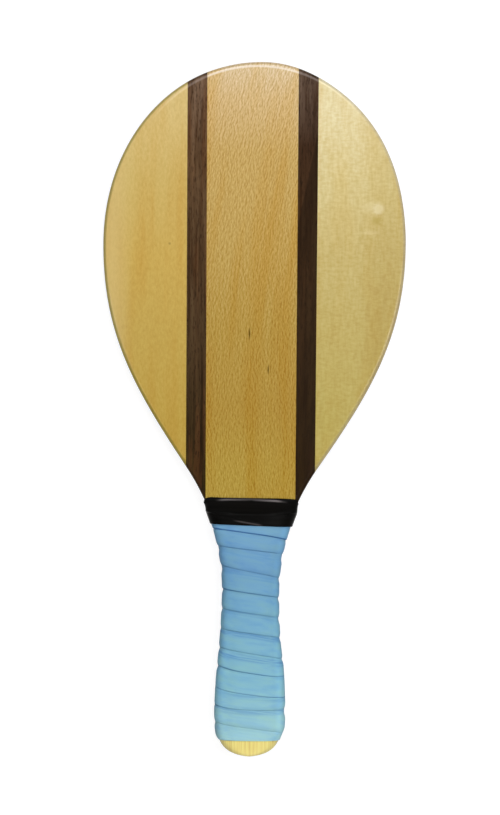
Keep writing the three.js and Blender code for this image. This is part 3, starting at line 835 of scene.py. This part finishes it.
# Its finish, in mm, with heights from its bottom. A painted highlight makes it paler in an arc under its top
# edge with two strong places, and in a straight line where the inner wrap's end shows through
finishLook = {
    "ripples": (40, 2.2, 1000), "tones": [(0.3, "#0b0b0a"), (0.7, "#121110")], "stretched": "#8f8888",
    "arcTop": (-4, 17.9), "arcBend": 0.0021, "arcFrom": (20, 26), "arcWidth": (0.1, 1),
    "strong": ((-16, 0.45), (13, 0.8)), "strongReach": (3, 11), "faint": 0.2,
    "line": (-12.4, 3.5), "lineSlope": 0.158, "lineStrength": 0.22, "lineWidth": (0, 0.9),
    "lineFrom": (-14, -6), "lineTo": (4, 9),
}


def pvcTape():
    # Soft PVC tape pulled tight: smooth black with faint ripples along its pull, and paler in painted
    # highlights
    material, tree = newMaterial("pvcTape")
    sheet = addNode(tree, "ShaderNodeUVMap", {"uv_map": "flat"}).outputs[0]
    pull = grainPattern(tree, sheet, finishLook["ripples"], 2, 0.5).outputs["Fac"]
    ripples = addNode(tree, "ShaderNodeBump", {}, {"Height": pull, "Strength": 0.25, "Distance": 0.15 * mm})
    tone = addNode(tree, "ShaderNodeValToRGB", {}, {"Fac": pull}, finishLook["tones"])
    # painted highlights, kept in the attribute named stretched
    stretched = addNode(tree, "ShaderNodeAttribute", {"attribute_name": "stretched"})
    paintedLight = addNode(tree, "ShaderNodeMix", {"data_type": "RGBA"}, {
        0: stretched.outputs["Fac"], 6: tone.outputs[0], 7: linear(finishLook["stretched"])})
    surface(tree, {"Base Color": paintedLight.outputs[2], "Normal": ripples.outputs[0], "Roughness": 0.3,
                   "IOR": 1.5, "Specular IOR Level": 0.02})
    return material


def finishSheet():
    f, p = finishTape, finishLook
    top = f["bottom"] + f["width"]
    bevelFrom = handle["bevelAt"] - f["letsGo"]
    easing = f["easing"]

    def place(u, v):
        angle = u * 2 * math.pi
        across = math.copysign(abs(math.cos(angle)) ** (2 / handle["power"]), math.cos(angle))
        s = f["bottom"] + f["width"] * v - f["tilt"] * across
        bridge = min(max((s - bevelFrom) / (top - f["landing"] - bevelFrom), 0), 1)
        eased = (bridge ** 2 / (2 * easing) if bridge < easing else bridge - easing / 2) / (1 - easing / 2)
        bridge = f["straight"] * eased + (1 - f["straight"]) * smoothShare(bridge, 0, 1)
        half = handle["thickness"] / 2 + (halfBlade - handle["thickness"] / 2) * bridge
        out = f["overGrip"] + (f["overBlade"] - f["overGrip"]) * bridge
        line = f["bottom"] + f["endSlope"] * (f["endAt"] - across * halfWidthAt(s))
        out -= f["step"] * (1 - smoothShare(s, line - f["stepWidth"] / 2, line + f["stepWidth"] / 2))
        point = ovalPoint(angle, s, halfWidthAt(s) + out, half + out, powerAt(s))
        # its upper edge is bowed, and sags a little on the left
        bow, sag = f["bow"] * (1 - across ** f["bowPower"]), f["sag"] * smoothShare(-across, *f["sagFrom"])
        point.y += (bow - sag) * mm * bridge
        return point, (u * f["sheetLength"] * mm, v * f["width"] * mm)

    bm = rolledSheet(f["steps"], f["rows"], place)
    bmesh.ops.remove_doubles(bm, verts=bm.verts, dist=weld)
    # painted highlights: an arc under the top edge and a line along the wrap's end, on the front only
    stretched = bm.verts.layers.float.new("stretched")
    for vert in bm.verts:
        x, s = vert.co.x / mm, vert.co.y / mm + racket["length"] / 2
        arc = f["bottom"] + p["arcTop"][1] - p["arcBend"] * (x - p["arcTop"][0]) ** 2
        strength = max(p["faint"], *[
            peak * (1 - smoothShare(abs(x - at), *p["strongReach"])) for at, peak in p["strong"]])
        alongTop = strength * (1 - smoothShare(abs(x), *p["arcFrom"])) * (
            1 - smoothShare(abs(s - arc), *p["arcWidth"]))
        end = f["bottom"] + p["line"][1] - p["lineSlope"] * (x - p["line"][0])
        alongEnd = p["lineStrength"] * smoothShare(x, *p["lineFrom"]) * (
            1 - smoothShare(x, *p["lineTo"])) * (1 - smoothShare(abs(s - end), *p["lineWidth"]))
        vert[stretched] = max(alongTop, alongEnd) if vert.co.z > middle else 0
    return bm


blackTape = pvcTape()
neckBand = addPiece("finishingTape", finishSheet(), blackTape, "finishing_tape", sharp=50)
addWall(neckBand, finishTape["thickness"])
print("finishing tape wrapped")

# The stage: a white floor that touches the finishing tape and the crown, where the racket rests. In metres
stage = {"radius": 6, "gap": 0.0001, "paper": 0.25, "glow": 0.86, "glowFrom": 0.35, "glowTo": 1.2,
         "dome": 0.1}
tapeLow = Vector((0, spot(0, handle["bevelAt"], 0).y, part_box("finishing_tape")[0].z))
crownLow = Vector((0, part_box("centre_plank")[1].y - blade["edgeRadius"] * mm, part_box("centre_plank")[0].z))
slope = math.atan2(crownLow.z - tapeLow.z, crownLow.y - tapeLow.y)
bm = bmesh.new()
bmesh.ops.create_circle(bm, cap_ends=True, segments=64, radius=stage["radius"])
bmesh.ops.recalc_face_normals(bm, faces=bm.faces)
if bm.faces[:][0].normal.z < 0:
    bmesh.ops.reverse_faces(bm, faces=bm.faces)
mesh = bpy.data.meshes.new("floor")
bm.to_mesh(mesh)
bm.free()
floor = bpy.data.objects.new("floor", mesh)
floor.rotation_euler.x = slope
floor.location = tapeLow - Vector((0, 0, stage["gap"]))
bpy.context.scene.collection.objects.link(floor)
# white paper that glows for the camera and in gloss, more so away from the racket, and is open from below
material, tree = newMaterial("whitePaper")
path = addNode(tree, "ShaderNodeLightPath")
seen = addNode(tree, "ShaderNodeMath", {"operation": "MAXIMUM"}, {
    0: path.outputs["Is Camera Ray"], 1: path.outputs["Is Glossy Ray"]})
seen = addNode(tree, "ShaderNodeMath", {"operation": "MAXIMUM"}, {
    0: seen.outputs[0], 1: path.outputs["Is Transmission Ray"]})
away = addNode(tree, "ShaderNodeVectorMath", {"operation": "LENGTH"}, {
    0: addNode(tree, "ShaderNodeTexCoord").outputs["Object"]})
glowing = addNode(tree, "ShaderNodeMapRange", {}, {
    "Value": away.outputs["Value"], "From Min": stage["glowFrom"], "From Max": stage["glowTo"],
    "To Min": stage["glow"], "To Max": 1})
strength = addNode(tree, "ShaderNodeMath", {"operation": "MULTIPLY"}, {
    0: seen.outputs[0], 1: glowing.outputs[0]})
paper = addNode(tree, "ShaderNodeBsdfDiffuse", {}, {
    "Color": (stage["paper"], stage["paper"], stage["paper"], 1)})
glow = addNode(tree, "ShaderNodeEmission", {}, {"Strength": strength.outputs[0]})
both = addNode(tree, "ShaderNodeAddShader", {}, {0: paper.outputs[0], 1: glow.outputs[0]})
opened = addNode(tree, "ShaderNodeMixShader", {}, {
    0: addNode(tree, "ShaderNodeNewGeometry").outputs["Backfacing"], 1: both.outputs[0],
    2: addNode(tree, "ShaderNodeBsdfTransparent").outputs[0]})
addNode(tree, "ShaderNodeOutputMaterial", {}, {"Surface": opened.outputs[0]})
floor.data.materials.append(material)

# A dim even sky, white for the camera, and low down also in gloss
world = bpy.data.worlds.new("studio")
bpy.context.scene.world = world
world.use_nodes = True
tree = world.node_tree
tree.nodes.clear()
path = addNode(tree, "ShaderNodeLightPath")
direction = addNode(tree, "ShaderNodeSeparateXYZ", {}, {
    0: addNode(tree, "ShaderNodeTexCoord").outputs["Generated"]})
low = addNode(tree, "ShaderNodeMapRange", {}, {
    "Value": direction.outputs["Z"], "From Min": 0, "From Max": 0.1, "To Min": 1, "To Max": 0})
clear = addNode(tree, "ShaderNodeMath", {"operation": "MAXIMUM"}, {
    0: path.outputs["Is Glossy Ray"], 1: path.outputs["Is Transmission Ray"]})
walls = addNode(tree, "ShaderNodeMath", {"operation": "MULTIPLY"}, {0: clear.outputs[0], 1: low.outputs[0]})
white = addNode(tree, "ShaderNodeMath", {"operation": "MAXIMUM"}, {
    0: path.outputs["Is Camera Ray"], 1: walls.outputs[0]})
level = addNode(tree, "ShaderNodeMapRange", {}, {
    "Value": white.outputs[0], "To Min": stage["dome"], "To Max": 1})
sky = addNode(tree, "ShaderNodeBackground", {}, {"Color": (1, 1, 1, 1), "Strength": level.outputs[0]})
addNode(tree, "ShaderNodeOutputWorld", {}, {"Surface": sky.outputs[0]})

# Softboxes: place and aim in metres, size in metres, power in watts
softboxes = {
    "headBox": {"at": (0.05, 0.85, 1.3), "aim": (0, 0.1, 0), "size": (0.9, 0.3), "power": 11},
    "rightBox": {"at": (0.65, -0.05, 1.3), "aim": (0, 0, 0), "size": (0.35, 0.9), "power": 7},
    "leftBox": {"at": (-0.65, -0.05, 1.3), "aim": (0, 0, 0), "size": (0.35, 0.9), "power": 2.5},
    "buttBox": {"at": (0.1, -0.85, 1.1), "aim": (0, -0.1, 0), "size": (0.7, 0.3), "power": 4},
}
for name, box in softboxes.items():
    lamp = bpy.data.lights.new(name, "AREA")
    lamp.shape, lamp.size, lamp.size_y, lamp.energy = "RECTANGLE", *box["size"], box["power"]
    light = bpy.data.objects.new(name, lamp)
    light.location = box["at"]
    light.rotation_euler = (Vector(box["aim"]) - light.location).to_track_quat("-Z", "Y").to_euler()
    light.visible_camera = False
    bpy.context.scene.collection.objects.link(light)

# The camera looks straight down on the front face, a little rolled. Distance in metres, the rest in mm and
# degrees
shot = {"distance": 1.6, "frameHeight": 564.7, "at": (-1.85, 1.0), "roll": 0.66}
camera = bpy.data.cameras.new("camera")
camera.lens = camera.sensor_width * shot["distance"] / (shot["frameHeight"] * mm)
eye = bpy.data.objects.new("camera", camera)
eye.location = (shot["at"][0] * mm, shot["at"][1] * mm, middle + halfBlade * mm + shot["distance"])
eye.rotation_euler.z = math.radians(shot["roll"])
bpy.context.scene.collection.objects.link(eye)
bpy.context.scene.camera = eye
bpy.context.scene.view_settings.view_transform = "Standard"
print("stage set")
